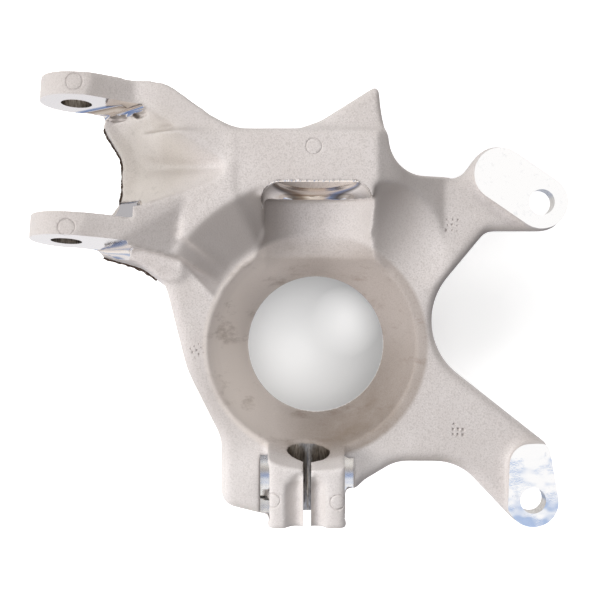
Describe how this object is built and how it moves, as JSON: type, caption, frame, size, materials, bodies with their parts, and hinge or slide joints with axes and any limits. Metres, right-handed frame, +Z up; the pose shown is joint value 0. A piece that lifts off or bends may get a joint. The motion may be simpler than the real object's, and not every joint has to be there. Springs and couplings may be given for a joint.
{
  "type": "steering knuckle",
  "caption": "Forged aluminium steering knuckle: wheel bearing bore, control arm fork, two caliper lugs and a split clamp for a ball joint stud.",
  "frame": {"origin": "on the wheel axis, at the middle of the bearing seat", "axes": "+Y outboard along the wheel axis, +Z up, +X towards the brake caliper"},
  "size_m": [0.2702, 0.1171, 0.227],
  "materials": {
    "forging": "shot blasted"
  },
  "bodies": {
    "root": {"knuckle": "forging"}
  },
  "joints": []
}
